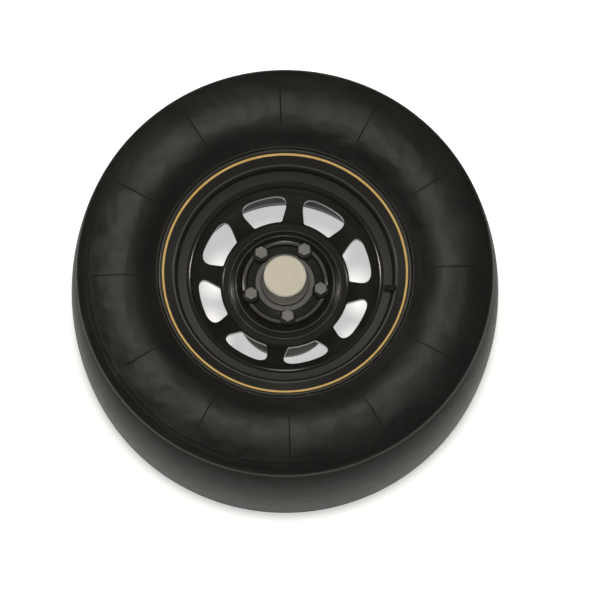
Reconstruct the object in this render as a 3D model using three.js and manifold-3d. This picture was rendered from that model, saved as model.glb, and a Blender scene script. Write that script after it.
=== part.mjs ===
// A stock-car racing wheel: a slick tyre on a steel rim with a stamped eight-window disc,
// bolted by five closed lug nuts to a hub that turns on a flanged stub spindle.
// The axis of rotation is Z, the outboard face looks to +Z, and the origin is the wheel centre.
// Every length is in millimetres.

import * as THREE from 'three';
import { mergeVertices } from 'three/addons/utils/BufferGeometryUtils.js';
import Module from 'manifold-3d';

const wasm = await Module();
wasm.setup();

// Facets around every concentric ring, so that neighbouring rings stay parallel.
const RING_FACETS = 32;
const BEARING_FACETS = 24;
const SMALL_FACETS = 16;
const GAP = 0.3;

// Tyre
const TYRE_RADIUS = 350.4;
const TREAD_EDGE_RADIUS = 342.4;
const TREAD_EDGE_HEIGHT = 133.2;
const TYRE_HALF_WIDTH = 147.4;
const SIDEWALL_CREST_RADIUS = 268;
const TREAD_THICKNESS = 12;
const CASING_THICKNESS = 8.5;

// Rim
const FLANGE_RADIUS = 207.3;
const FLANGE_HEIGHT = 135;
const BEAD_SEAT_RADIUS = 189.8;
const BEAD_SEAT_OUTER_HEIGHT = 121;
const BEAD_SEAT_INNER_HEIGHT = 106;
const WELL_RADIUS = 160.8;
const SHEET = 4.5;
const STRIPE_INNER_RADIUS = 198.1;
const STRIPE_OUTER_RADIUS = 201.8;
const STRIPE_SEAT_HEIGHT = 129.2;

// Disc
const DISC_LIP_HEIGHT = 98.6;
const DISC_SKIRT_HEIGHT = 84;
const PAD_BACK_HEIGHT = 55;
const PAD_FRONT_HEIGHT = 60.5;
const DISC_BORE_RADIUS = 48.7;
const WINDOW_COUNT = 8;
const WINDOW_START = 15.4;
const WINDOW_INNER_RADIUS = 105.7;
const WINDOW_OUTER_RADIUS = 142.5;

// Fasteners
const LUG_COUNT = 5;
const LUG_START = 58.3;
const LUG_CIRCLE_RADIUS = 60.325;
const STUD_RADIUS = 6.35;
const NUT_ACROSS_FLATS = 18;
const NUT_TOP_HEIGHT = 82.5;
const NUT_FLANGE_RADIUS = 13.8;
const NUT_SEAT_HEIGHT = 66.1;
const NUT_SEAT_RADIUS = 11.5;
const NUT_SEAT_TIP_RADIUS = 8.6;
const NUT_SEAT_TIP_HEIGHT = 59;

// Hub, cap and spindle
const HUB_FLANGE_RADIUS = 73;
const HUB_FLANGE_THICKNESS = 12;
const HUB_BARREL_RADIUS = 46;
const HUB_BACK_HEIGHT = -72;
const HUB_NOSE_RADIUS = 48.4;
const HUB_NOSE_HEIGHT = 62.4;
const CAP_BASE_RADIUS = 40.2;
const CAP_TOP_RADIUS = 34.6;
const CAP_HEIGHT = 108.5;
const CAP_SPIGOT_RADIUS = 36;
const SPINDLE_FLANGE_RADIUS = 79.5;
const SPINDLE_BACK_HEIGHT = -134;
const SPINDLE_FLANGE_THICKNESS = 13;
const SPINDLE_BOLT_COUNT = 6;
const SPINDLE_BOLT_CIRCLE_RADIUS = 62;
const SPINDLE_BOLT_HOLE_RADIUS = 6.5;
const SPINDLE_TIP_HEIGHT = 60;
const THREAD_RADIUS = 12.5;
const COTTER_HEIGHT = 55.5;
const WASHER_THICKNESS = 3.6;

// Tapered roller bearings: heights of the large and small ends, and the radii there.
const INNER_BEARING = {
  large: { z: -60, cone: 25.6, cup: 33.8 },
  small: { z: -40, cone: 22.8, cup: 29.8 },
  bore: 20.3,
  outside: 37,
  rollers: 14,
};
const OUTER_BEARING = {
  large: { z: 38, cone: 20.2, cup: 27 },
  small: { z: 22, cone: 18.2, cup: 24 },
  bore: 15.3,
  outside: 30,
  rollers: 12,
};

// Valve: a bent rubber stem. Its plug stands upright in the wall of the hoop, and its straight
// part leans down towards the axis. Distances along the straight part start at the elbow.
const VALVE_ANGLE = -7.65;
const VALVE_ELBOW_RADIUS = 178.6;
const VALVE_ELBOW_HEIGHT = 120.3;
const VALVE_TILT = -20;
const VALVE_BODY_RADIUS = 5.6;
const VALVE_BODY_LENGTH = 8.2;
const VALVE_FRONT_POCKET_RADIUS = 6.2;
const VALVE_FRONT_POCKET_FLOOR = 110;
const VALVE_BACK_POCKET_RADIUS = 8.8;
const VALVE_BACK_POCKET_ROOF = 103;
const VALVE_BULB_RADIUS = 8.2;
const VALVE_TIP_LENGTH = 12.6;
const VALVE_TIP_RADIUS = 3.8;
const VALVE_BORE_RADIUS = 2;

const radians = THREE.MathUtils.degToRad;

// ---------------------------------------------------------------- shape helpers

// A closed solid needs shared corners, so only the positions are kept and merged.
function weld(geometry) {
  geometry.deleteAttribute('normal');
  geometry.deleteAttribute('uv');
  return mergeVertices(geometry, 1e-4);
}

function toSolid(geometry) {
  const welded = weld(geometry);
  const mesh = new wasm.Mesh({
    numProp: 3,
    vertProperties: new Float32Array(welded.attributes.position.array),
    triVerts: new Uint32Array(welded.index.array),
  });
  return new wasm.Manifold(mesh);
}

function toGeometry(solid) {
  const mesh = solid.getMesh();
  const geometry = new THREE.BufferGeometry();
  geometry.setAttribute('position', new THREE.BufferAttribute(new Float32Array(mesh.vertProperties), 3));
  geometry.setIndex(new THREE.BufferAttribute(new Uint32Array(mesh.triVerts), 1));
  return geometry;
}

// Turns a profile of [radius, height] points about Z. With the radius to the right and the
// height up, the lathe needs an anticlockwise profile, so one that runs clockwise is reversed.
function turned(profile, facets = RING_FACETS, closed = true) {
  const points = profile.map(([radius, height]) => new THREE.Vector2(radius, height));
  if (closed) {
    points.push(points[0].clone());
  }
  if (THREE.ShapeUtils.area(points) < 0) {
    points.reverse();
  }
  const geometry = new THREE.LatheGeometry(points, facets);
  geometry.rotateX(Math.PI / 2);
  return dropSlivers(weld(geometry));
}

// Where a profile touches the axis, the lathe leaves triangles with two equal corners.
function dropSlivers(geometry) {
  const index = geometry.index.array;
  const kept = [];
  for (let i = 0; i < index.length; i += 3) {
    const [a, b, c] = [index[i], index[i + 1], index[i + 2]];
    if (a !== b && b !== c && c !== a) {
      kept.push(a, b, c);
    }
  }
  geometry.setIndex(kept);
  return geometry;
}

// A solid cylinder along Z from one height to another; top and bottom radii may differ.
function rod(bottomRadius, topRadius, bottom, top, facets = SMALL_FACETS) {
  const geometry = new THREE.CylinderGeometry(topRadius, bottomRadius, top - bottom, facets);
  geometry.rotateX(Math.PI / 2);
  geometry.translate(0, 0, (top + bottom) / 2);
  return weld(geometry);
}

function mirrored(profile) {
  return profile.map(([radius, height]) => [radius, -height]).reverse();
}

function place(geometry, radius, degrees) {
  const angle = radians(degrees);
  return geometry.clone().translate(radius * Math.cos(angle), radius * Math.sin(angle), 0);
}

// ---------------------------------------------------------------- wheel

const lugAngles = Array.from({ length: LUG_COUNT }, (_, i) => LUG_START + (i * 360) / LUG_COUNT);

function tyre() {
  const crownSag = TYRE_RADIUS - TREAD_EDGE_RADIUS;
  const crown = [0.75, 0.4, 0].map((t) => [
    TYRE_RADIUS - crownSag * t * t,
    TREAD_EDGE_HEIGHT * t,
  ]);
  const outerSide = [
    [BEAD_SEAT_RADIUS + GAP, BEAD_SEAT_INNER_HEIGHT + 1],
    [BEAD_SEAT_RADIUS + GAP, BEAD_SEAT_OUTER_HEIGHT - 0.2],
    [192, 123.1],
    [197.2, 124.1],
    [203.8, 126.6],
    [208.2, 131.3],
    [211, 136.7],
    [226, 139.6],
    [244, 144.9],
    [SIDEWALL_CREST_RADIUS - 7, TYRE_HALF_WIDTH],
    [SIDEWALL_CREST_RADIUS + 7, TYRE_HALF_WIDTH],
    [299, 144.9],
    [323, 139.6],
    [TREAD_EDGE_RADIUS, TREAD_EDGE_HEIGHT],
  ];
  const liner = TYRE_RADIUS - TREAD_THICKNESS;
  const innerSide = [
    [liner, 0],
    [liner - 5, 108],
    [322, TYRE_HALF_WIDTH - CASING_THICKNESS - 9],
    [SIDEWALL_CREST_RADIUS, TYRE_HALF_WIDTH - CASING_THICKNESS],
    [240, 134.5],
    [218, 125],
    [200, 106],
  ];
  const outside = [...outerSide, ...crown.slice(0, -1)];
  const inside = innerSide.slice(1);
  return turned([
    ...outside,
    crown.at(-1),
    ...mirrored(outside),
    ...mirrored(inside.slice().reverse()).reverse(),
    innerSide[0],
    ...inside,
  ]);
}

function rimProfile() {
  const tyreSide = [
    [FLANGE_RADIUS, FLANGE_HEIGHT],
    [FLANGE_RADIUS + 0.4, 131.5],
    [203.5, 127],
    [197, 124.5],
    [191.5, 123.5],
    [BEAD_SEAT_RADIUS, BEAD_SEAT_OUTER_HEIGHT],
  ];
  const outboardWell = [
    [BEAD_SEAT_RADIUS, 103],
    [186, 100],
    [WELL_RADIUS + SHEET, 86],
  ];
  const inboardWell = [
    [WELL_RADIUS + SHEET, -45],
    [173, -97],
    [BEAD_SEAT_RADIUS, -BEAD_SEAT_INNER_HEIGHT - 1.5],
  ];
  const flangeFace = [
    [186.5, 125.9],
    [199.9, STRIPE_SEAT_HEIGHT],
    [204.5, 131.3],
  ];
  const inboardInside = [
    ...mirrored(flangeFace),
    [184.5, -112],
    [171.5, -101.5],
    [168.5, -98],
    [WELL_RADIUS, -45],
  ];
  const outboardInside = [
    [WELL_RADIUS, 97],
    [161.4, 100.5],
    [176, 110.8],
    [177.8, 114],
    [178.6, 118],
    [181.4, 122.3],
    ...flangeFace,
  ];
  return [
    ...tyreSide,
    ...outboardWell,
    ...inboardWell,
    ...mirrored(tyreSide),
    ...inboardInside,
    ...outboardInside,
  ];
}

// Puts a shape whose Z axis is the straight part of the valve at the elbow.
function atElbow(object) {
  object.rotateZ(radians(VALVE_ANGLE));
  object.rotateY(-radians(90 - VALVE_TILT));
  const elbow = new THREE.Vector3(VALVE_ELBOW_RADIUS, 0, VALVE_ELBOW_HEIGHT);
  object.position.copy(elbow.applyAxisAngle(new THREE.Vector3(0, 0, 1), radians(VALVE_ANGLE)));
  object.updateMatrix();
  return object;
}

function valveUpright(radius, bottom, top) {
  return toSolid(place(rod(radius, radius, bottom, top), VALVE_ELBOW_RADIUS, VALVE_ANGLE));
}

function valveCutter() {
  const front = valveUpright(VALVE_FRONT_POCKET_RADIUS, VALVE_FRONT_POCKET_FLOOR, 140);
  const hole = valveUpright(VALVE_BODY_RADIUS + GAP, 90, VALVE_FRONT_POCKET_FLOOR + 1);
  const back = valveUpright(VALVE_BACK_POCKET_RADIUS, 80, VALVE_BACK_POCKET_ROOF);
  return front.add(hole).add(back);
}

function rimHoop() {
  const hoop = toSolid(turned(rimProfile()));
  return toGeometry(hoop.subtract(valveCutter()));
}

// A thin band of tape laid over the slight bend of the flange face: it dips towards the axis
// and rises towards the edge.
function rimStripe() {
  const thickness = 0.6;
  const middle = 199.9;
  const bottom = STRIPE_SEAT_HEIGHT + GAP + 0.1;
  const dip = 0.45;
  const rise = 0.85;
  return turned([
    [STRIPE_INNER_RADIUS, bottom - dip],
    [middle, bottom],
    [STRIPE_OUTER_RADIUS, bottom + rise],
    [STRIPE_OUTER_RADIUS, bottom + rise + thickness],
    [middle, bottom + thickness],
    [STRIPE_INNER_RADIUS, bottom - dip + thickness],
  ]);
}

// A window outline: two edges concentric with the wheel, two straight sides, rounded corners.
function windowOutline() {
  const outerArc = radians(10.1);
  const innerArc = radians(10.6);
  const up = Math.PI / 2;
  const outline = new THREE.Shape();
  outline.absarc(0, 0, WINDOW_OUTER_RADIUS, up - outerArc, up + outerArc, false);
  outline.quadraticCurveTo(-45.5, 135, -33.5, 117.5);
  outline.lineTo(-25.8, 106.4);
  const innerStart = up + innerArc;
  outline.quadraticCurveTo(
    -23.5,
    103.1,
    WINDOW_INNER_RADIUS * Math.cos(innerStart),
    WINDOW_INNER_RADIUS * Math.sin(innerStart),
  );
  outline.absarc(0, 0, WINDOW_INNER_RADIUS, innerStart, up - innerArc, true);
  outline.quadraticCurveTo(23.5, 103.1, 25.8, 106.4);
  outline.lineTo(33.5, 117.5);
  const outerStart = up - outerArc;
  outline.quadraticCurveTo(
    45.5,
    135,
    WINDOW_OUTER_RADIUS * Math.cos(outerStart),
    WINDOW_OUTER_RADIUS * Math.sin(outerStart),
  );
  return outline;
}

function windowCutter(degrees) {
  const cutter = new THREE.ExtrudeGeometry(windowOutline(), {
    depth: 100,
    bevelEnabled: false,
    curveSegments: 3,
  });
  cutter.translate(0, 0, 20);
  cutter.rotateZ(radians(degrees - 90));
  return toSolid(cutter);
}

function wheelDisc() {
  const lipInner = WELL_RADIUS - GAP - SHEET;
  const front = [
    [DISC_BORE_RADIUS, PAD_FRONT_HEIGHT],
    [61.5, PAD_FRONT_HEIGHT],
    [64.4, 64.6],
    [67, 66],
    [69.8, 65],
    [77, 56.3],
    [84.5, 49.8],
    [91.5, 45.2],
    [100, 44.4],
    [107, 47.8],
    [142.5, 81],
    [151.8, 91.3],
    [lipInner, 97.6],
    [lipInner + 1, DISC_LIP_HEIGHT],
    [WELL_RADIUS - GAP, DISC_LIP_HEIGHT],
    [WELL_RADIUS - GAP, DISC_SKIRT_HEIGHT],
  ];
  const back = [
    [154.2, DISC_SKIRT_HEIGHT],
    [108, 42],
    [98, 38.2],
    [87, 40.5],
    [78.5, 49],
    [74.6, PAD_BACK_HEIGHT],
    [DISC_BORE_RADIUS, PAD_BACK_HEIGHT],
  ];
  const boss = rod(14.4, 14.4, PAD_BACK_HEIGHT + 1, NUT_SEAT_HEIGHT - GAP);
  const hole = rod(STUD_RADIUS + 1.4, STUD_RADIUS + 1.4, 40, 90);
  const cone = rod(
    NUT_SEAT_TIP_RADIUS + GAP,
    NUT_SEAT_RADIUS + 0.2 + GAP,
    NUT_SEAT_TIP_HEIGHT - GAP,
    NUT_SEAT_HEIGHT - GAP + 0.01,
  );
  const spotFace = rod(14.4, 14.4, NUT_SEAT_HEIGHT - GAP, 90);
  let disc = toSolid(turned([...front, ...back]));
  for (const degrees of lugAngles) {
    disc = disc.add(toSolid(place(boss, LUG_CIRCLE_RADIUS, degrees)));
  }
  for (const degrees of lugAngles) {
    for (const cutter of [spotFace, hole, cone]) {
      disc = disc.subtract(toSolid(place(cutter, LUG_CIRCLE_RADIUS, degrees)));
    }
  }
  disc = disc.subtract(toSolid(rod(DISC_BORE_RADIUS, DISC_BORE_RADIUS, 40, 90, RING_FACETS)));
  for (let i = 0; i < WINDOW_COUNT; i += 1) {
    disc = disc.subtract(windowCutter(WINDOW_START + (i * 360) / WINDOW_COUNT));
  }
  return toGeometry(disc);
}

function lugNut() {
  const hexCorner = NUT_ACROSS_FLATS / 2 / Math.cos(Math.PI / 6);
  const hex = toSolid(rod(hexCorner, hexCorner, NUT_SEAT_HEIGHT + 1, NUT_TOP_HEIGHT, 6));
  const chamfer = toSolid(turned([
    [0, 60],
    [NUT_FLANGE_RADIUS + 1, 60],
    [NUT_FLANGE_RADIUS + 1, NUT_TOP_HEIGHT - 2.7],
    [NUT_ACROSS_FLATS / 2, NUT_TOP_HEIGHT],
    [0, NUT_TOP_HEIGHT],
  ], SMALL_FACETS, false));
  const flange = toSolid(rod(NUT_FLANGE_RADIUS, 12.6, NUT_SEAT_HEIGHT, NUT_SEAT_HEIGHT + 2.6));
  const seat = toSolid(rod(NUT_SEAT_TIP_RADIUS, NUT_SEAT_RADIUS, NUT_SEAT_TIP_HEIGHT, NUT_SEAT_HEIGHT + 0.5));
  const bore = toSolid(rod(STUD_RADIUS + GAP, STUD_RADIUS + GAP, 40, NUT_TOP_HEIGHT - 3));
  return toGeometry(hex.intersect(chamfer).add(flange).add(seat).subtract(bore));
}

function wheelStud() {
  const flangeBack = PAD_BACK_HEIGHT - GAP - HUB_FLANGE_THICKNESS;
  return turned([
    [0, flangeBack - 4.3],
    [9.5, flangeBack - 4.3],
    [10, flangeBack - GAP],
    [STUD_RADIUS, flangeBack - GAP],
    [STUD_RADIUS, NUT_TOP_HEIGHT - 5.5],
    [STUD_RADIUS - 1.2, NUT_TOP_HEIGHT - 4],
    [0, NUT_TOP_HEIGHT - 4],
  ], SMALL_FACETS, false);
}

// ---------------------------------------------------------------- hub and cap

function hub() {
  const flangeFront = PAD_BACK_HEIGHT - GAP;
  const flangeBack = flangeFront - HUB_FLANGE_THICKNESS;
  const innerSeat = INNER_BEARING.outside + GAP;
  const outerSeat = OUTER_BEARING.outside + GAP;
  const barrel = toSolid(turned([
    [CAP_SPIGOT_RADIUS + GAP, HUB_NOSE_HEIGHT],
    [HUB_NOSE_RADIUS - 0.8, HUB_NOSE_HEIGHT],
    [HUB_NOSE_RADIUS, HUB_NOSE_HEIGHT - 0.8],
    [HUB_NOSE_RADIUS, flangeFront],
    [HUB_FLANGE_RADIUS, flangeFront],
    [HUB_FLANGE_RADIUS, flangeBack],
    [50, flangeBack],
    [HUB_BARREL_RADIUS, flangeBack - 5],
    [HUB_BARREL_RADIUS, HUB_BACK_HEIGHT],
    [40, HUB_BACK_HEIGHT],
    [40, INNER_BEARING.large.z - 2],
    [innerSeat, INNER_BEARING.large.z - 2],
    [innerSeat, INNER_BEARING.small.z + GAP],
    [33, INNER_BEARING.small.z + GAP],
    [33, INNER_BEARING.small.z + 4],
    [36, INNER_BEARING.small.z + 7],
    [36, 10],
    [27, OUTER_BEARING.small.z - 4],
    [27, OUTER_BEARING.small.z - GAP],
    [outerSeat, OUTER_BEARING.small.z - GAP],
    [outerSeat, 44],
    [CAP_SPIGOT_RADIUS + GAP, 44],
  ]));
  let solid = barrel;
  const hole = rod(STUD_RADIUS + GAP, STUD_RADIUS + GAP, flangeBack - 5, flangeFront + 5);
  for (const degrees of lugAngles) {
    solid = solid.subtract(toSolid(place(hole, LUG_CIRCLE_RADIUS, degrees)));
  }
  return toGeometry(solid);
}

function dustCap() {
  return turned([
    [0, CAP_HEIGHT - 1.2],
    [CAP_TOP_RADIUS - 1, CAP_HEIGHT - 1.2],
    [CAP_TOP_RADIUS - 1, CAP_HEIGHT],
    [CAP_TOP_RADIUS, CAP_HEIGHT],
    [35.4, CAP_HEIGHT - 1.6],
    [36.5, 87],
    [38.6, 67],
    [CAP_BASE_RADIUS, 65.4],
    [CAP_BASE_RADIUS, HUB_NOSE_HEIGHT + GAP],
    [CAP_SPIGOT_RADIUS, HUB_NOSE_HEIGHT + GAP],
    [CAP_SPIGOT_RADIUS, 50],
    [CAP_SPIGOT_RADIUS - 2, 50],
    [CAP_SPIGOT_RADIUS - 2, 86],
    [32.6, CAP_HEIGHT - 4],
    [0, CAP_HEIGHT - 4],
  ], RING_FACETS, false);
}

function capFace() {
  const radius = CAP_TOP_RADIUS - 1 - GAP;
  return turned([
    [0, CAP_HEIGHT - 1.2 + GAP],
    [radius, CAP_HEIGHT - 1.2 + GAP],
    [radius, CAP_HEIGHT],
    [0, CAP_HEIGHT + 0.3],
  ], RING_FACETS, false);
}

function greaseSeal() {
  const top = INNER_BEARING.large.z - 2.6;
  return turned([
    [26.3, top - 5],
    [28, top - 5.5],
    [28, top - 9],
    [39.7, top - 9],
    [39.7, top],
    [37.5, top],
    [37.5, top - 7],
    [30, top - 7],
    [28.4, top - 3],
    [26.3, top - 4],
  ], BEARING_FACETS);
}

// ---------------------------------------------------------------- bearings

function bearingCup(bearing) {
  const { large, small, outside } = bearing;
  return turned([
    [outside, large.z],
    [outside, small.z],
    [small.cup, small.z],
    [large.cup, large.z],
  ], BEARING_FACETS);
}

function bearingCone(bearing) {
  const { large, small, bore } = bearing;
  const out = Math.sign(large.z - small.z);
  return turned([
    [bore, large.z + 0.7 * out],
    [large.cone, large.z + 0.7 * out],
    [large.cone, large.z],
    [small.cone, small.z],
    [small.cone, small.z - 0.7 * out],
    [bore, small.z - 0.7 * out],
  ], BEARING_FACETS);
}

// The rollers of one bearing with the cage that spaces them, as a single turning set.
function rollerSet(bearing) {
  const { large, small, rollers } = bearing;
  const out = Math.sign(large.z - small.z);
  const mid = (end) => (end.cone + end.cup) / 2;
  const rollerRadius = (end) => (end.cup - end.cone) / 2 - GAP - 0.15;
  const from = new THREE.Vector3(mid(small), 0, small.z + 1.5 * out);
  const to = new THREE.Vector3(mid(large), 0, large.z - 1.5 * out);
  const along = to.clone().sub(from);
  const roller = new THREE.CylinderGeometry(rollerRadius(large), rollerRadius(small), along.length(), 6);
  const turn = new THREE.Quaternion().setFromUnitVectors(new THREE.Vector3(0, 1, 0), along.clone().normalize());
  roller.applyQuaternion(turn);
  roller.translate((from.x + to.x) / 2, 0, (from.z + to.z) / 2);
  const half = 0.7;
  let set = toSolid(turned([
    [mid(small) - half, small.z],
    [mid(small) + half, small.z],
    [mid(large) + half, large.z],
    [mid(large) - half, large.z],
  ], BEARING_FACETS));
  for (let i = 0; i < rollers; i += 1) {
    set = set.add(toSolid(roller.clone().rotateZ((i * 2 * Math.PI) / rollers)));
  }
  return toGeometry(set);
}

// ---------------------------------------------------------------- spindle

function spindle() {
  const flangeFront = SPINDLE_BACK_HEIGHT + SPINDLE_FLANGE_THICKNESS;
  const innerSeat = INNER_BEARING.bore - GAP;
  const outerSeat = OUTER_BEARING.bore - GAP;
  const shoulder = INNER_BEARING.large.z - 1;
  let solid = toSolid(turned([
    [0, SPINDLE_BACK_HEIGHT],
    [SPINDLE_FLANGE_RADIUS, SPINDLE_BACK_HEIGHT],
    [SPINDLE_FLANGE_RADIUS, flangeFront - 1.5],
    [SPINDLE_FLANGE_RADIUS - 1.5, flangeFront],
    [44, flangeFront],
    [34, flangeFront + 6],
    [30, flangeFront + 18],
    [28, HUB_BACK_HEIGHT - 4],
    [26, HUB_BACK_HEIGHT - 2],
    [26, shoulder - 1.5],
    [24, shoulder],
    [innerSeat, shoulder],
    [innerSeat, INNER_BEARING.small.z + 3],
    [outerSeat + 2, -10],
    [outerSeat, OUTER_BEARING.small.z - 3],
    [outerSeat, OUTER_BEARING.large.z + 3],
    [THREAD_RADIUS, OUTER_BEARING.large.z + 5],
    [THREAD_RADIUS, SPINDLE_TIP_HEIGHT - 1.5],
    [THREAD_RADIUS - 1.5, SPINDLE_TIP_HEIGHT],
    [0, SPINDLE_TIP_HEIGHT],
  ], BEARING_FACETS, false));
  const hole = rod(
    SPINDLE_BOLT_HOLE_RADIUS,
    SPINDLE_BOLT_HOLE_RADIUS,
    SPINDLE_BACK_HEIGHT - 5,
    flangeFront + 5,
  );
  for (let i = 0; i < SPINDLE_BOLT_COUNT; i += 1) {
    const degrees = (i * 360) / SPINDLE_BOLT_COUNT;
    solid = solid.subtract(toSolid(place(hole, SPINDLE_BOLT_CIRCLE_RADIUS, degrees)));
  }
  const pinHole = rod(2, 2, -20, 20, 12).rotateY(Math.PI / 2).translate(0, 0, COTTER_HEIGHT);
  return toGeometry(solid.subtract(toSolid(pinHole)));
}

const washerBottom = OUTER_BEARING.large.z + 0.7 + GAP;
const washerTop = washerBottom + WASHER_THICKNESS;

function spindleWasher() {
  const hole = THREAD_RADIUS + 3.2;
  return turned([
    [hole, washerBottom],
    [23, washerBottom],
    [23, washerTop],
    [hole, washerTop],
  ], SMALL_FACETS);
}

function spindleNut() {
  const bottom = washerTop + GAP;
  const hex = toSolid(rod(21, 21, bottom, bottom + 9.5, 6));
  const bore = toSolid(rod(THREAD_RADIUS + GAP, THREAD_RADIUS + GAP, 30, 70));
  return toGeometry(hex.subtract(bore));
}

function cotterPin() {
  const path = new THREE.CatmullRomCurve3([
    new THREE.Vector3(-15.5, 0, 0),
    new THREE.Vector3(0, 0, 0),
    new THREE.Vector3(14.5, 0, 0),
    new THREE.Vector3(17.5, 2.5, 0),
    new THREE.Vector3(18, 8, 0),
  ]);
  const section = new THREE.Shape().absarc(0, 0, 1.5, 0, 2 * Math.PI, false);
  const pin = new THREE.ExtrudeGeometry(section, { steps: 16, curveSegments: 5, extrudePath: path });
  const head = rod(3, 3, -17.5, -15, 12).rotateY(Math.PI / 2);
  const joined = toSolid(pin).add(toSolid(head));
  return toGeometry(joined).translate(0, 0, COTTER_HEIGHT);
}

// ---------------------------------------------------------------- valve

// The rubber elbow: an upright plug with a bulb under the wall, a round corner and a straight part.
function valveStem() {
  const bulbTop = VALVE_BACK_POCKET_ROOF - GAP;
  const bulb = turned([
    [0, bulbTop - 4.6],
    [VALVE_BULB_RADIUS - 0.8, bulbTop - 3.6],
    [VALVE_BULB_RADIUS, bulbTop],
    [0, bulbTop],
  ], SMALL_FACETS, false);
  const plug = valveUpright(VALVE_BODY_RADIUS, bulbTop - 1, VALVE_ELBOW_HEIGHT);
  const airway = valveUpright(VALVE_BORE_RADIUS, bulbTop - 10, VALVE_ELBOW_HEIGHT);
  const lean = atElbow(new THREE.Object3D()).matrix;
  const corner = weld(new THREE.SphereGeometry(VALVE_BODY_RADIUS, SMALL_FACETS, 8));
  const straight = rod(VALVE_BODY_RADIUS, VALVE_BODY_RADIUS, 0, VALVE_BODY_LENGTH);
  const socket = rod(VALVE_TIP_RADIUS + GAP, VALVE_TIP_RADIUS + GAP, -1, VALVE_BODY_LENGTH + 3);
  const solid = toSolid(place(bulb, VALVE_ELBOW_RADIUS, VALVE_ANGLE))
    .add(plug)
    .add(toSolid(corner.applyMatrix4(lean)))
    .add(toSolid(straight.applyMatrix4(lean)));
  return toGeometry(solid.subtract(toSolid(socket.applyMatrix4(lean))).subtract(airway));
}

function valveTube() {
  return turned([
    [VALVE_BORE_RADIUS, 0.8],
    [VALVE_TIP_RADIUS, 0.8],
    [VALVE_TIP_RADIUS, VALVE_TIP_LENGTH - 0.8],
    [VALVE_TIP_RADIUS - 0.7, VALVE_TIP_LENGTH],
    [VALVE_BORE_RADIUS, VALVE_TIP_LENGTH],
  ], SMALL_FACETS);
}

function valvePin() {
  return turned([
    [0, 1.5],
    [1.5, 1.5],
    [1.5, 3.5],
    [0.9, 4.5],
    [0.9, VALVE_TIP_LENGTH - 0.6],
    [0, VALVE_TIP_LENGTH - 0.6],
  ], 12, false);
}

function valveCap() {
  const top = VALVE_TIP_LENGTH + 2.4;
  return turned([
    [0, VALVE_TIP_LENGTH + GAP],
    [VALVE_TIP_RADIUS + GAP, VALVE_TIP_LENGTH + GAP],
    [VALVE_TIP_RADIUS + GAP, VALVE_BODY_LENGTH + GAP],
    [5.3, VALVE_BODY_LENGTH + GAP],
    [VALVE_BODY_RADIUS, VALVE_BODY_LENGTH + 1],
    [VALVE_BODY_RADIUS, top - 0.6],
    [VALVE_BODY_RADIUS - 0.6, top],
    [0, top],
  ], SMALL_FACETS, false);
}

// ---------------------------------------------------------------- assembly

const finishes = {
  rubber: { color: 0x2b2b29, roughness: 0.62, metalness: 0 },
  blackPaint: { color: 0x1d1d1b, roughness: 0.34, metalness: 0.1 },
  goldTape: { color: 0xbaa36f, roughness: 0.4, metalness: 0.1 },
  steel: { color: 0x8b8c8c, roughness: 0.38, metalness: 1 },
  darkSteel: { color: 0x55564f, roughness: 0.4, metalness: 0.9 },
  capMetal: { color: 0x777770, roughness: 0.3, metalness: 1 },
  capFace: { color: 0xc2baa5, roughness: 0.5, metalness: 0 },
  castIron: { color: 0x4c4c48, roughness: 0.6, metalness: 0.7 },
  blackPlastic: { color: 0x22211e, roughness: 0.5, metalness: 0 },
  brass: { color: 0xb79a55, roughness: 0.35, metalness: 1 },
  sealRubber: { color: 0x35231c, roughness: 0.6, metalness: 0 },
};

const assembly = new THREE.Group();

function add(name, geometry, finish, parent = assembly) {
  const mesh = new THREE.Mesh(geometry, new THREE.MeshStandardMaterial(finishes[finish]));
  mesh.name = name;
  parent.add(mesh);
  return mesh;
}

add('tyre', tyre(), 'rubber');
add('rim_hoop', rimHoop(), 'blackPaint');
add('wheel_disc', wheelDisc(), 'blackPaint');
add('rim_stripe', rimStripe(), 'goldTape');
add('hub', hub(), 'castIron');
add('dust_cap', dustCap(), 'capMetal');
add('cap_face', capFace(), 'capFace');
add('grease_seal', greaseSeal(), 'sealRubber');

lugAngles.forEach((degrees, i) => {
  const angle = radians(degrees);
  for (const [name, geometry] of [['lug_nut', lugNut()], ['wheel_stud', wheelStud()]]) {
    const mesh = add(`${name}_${i + 1}`, geometry, 'darkSteel');
    mesh.position.set(LUG_CIRCLE_RADIUS * Math.cos(angle), LUG_CIRCLE_RADIUS * Math.sin(angle), 0);
  }
});

for (const [side, bearing] of [['inner', INNER_BEARING], ['outer', OUTER_BEARING]]) {
  add(`${side}_bearing_cup`, bearingCup(bearing), 'steel');
  add(`${side}_bearing_cone`, bearingCone(bearing), 'steel');
  add(`${side}_roller_set`, rollerSet(bearing), 'steel');
}

add('spindle', spindle(), 'castIron');
add('spindle_washer', spindleWasher(), 'steel');
add('spindle_nut', spindleNut(), 'darkSteel');
add('cotter_pin', cotterPin(), 'steel');

add('valve_stem', valveStem(), 'blackPlastic');
const valve = atElbow(new THREE.Group());
add('valve_tube', valveTube(), 'brass', valve);
add('valve_pin', valvePin(), 'brass', valve);
add('valve_cap', valveCap(), 'blackPlastic', valve);
assembly.add(valve);

export default assembly;
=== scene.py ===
"""A stock-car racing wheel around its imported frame: slick tyre, steel rim, hub, bearings and spindle.

The axis of rotation is Z and the outboard face looks to +Z. Profiles are in millimetres as
(radius, height) and become metres when a mesh is made.
"""

import math

import bmesh
import bpy
from mathutils import Matrix, Vector


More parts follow.
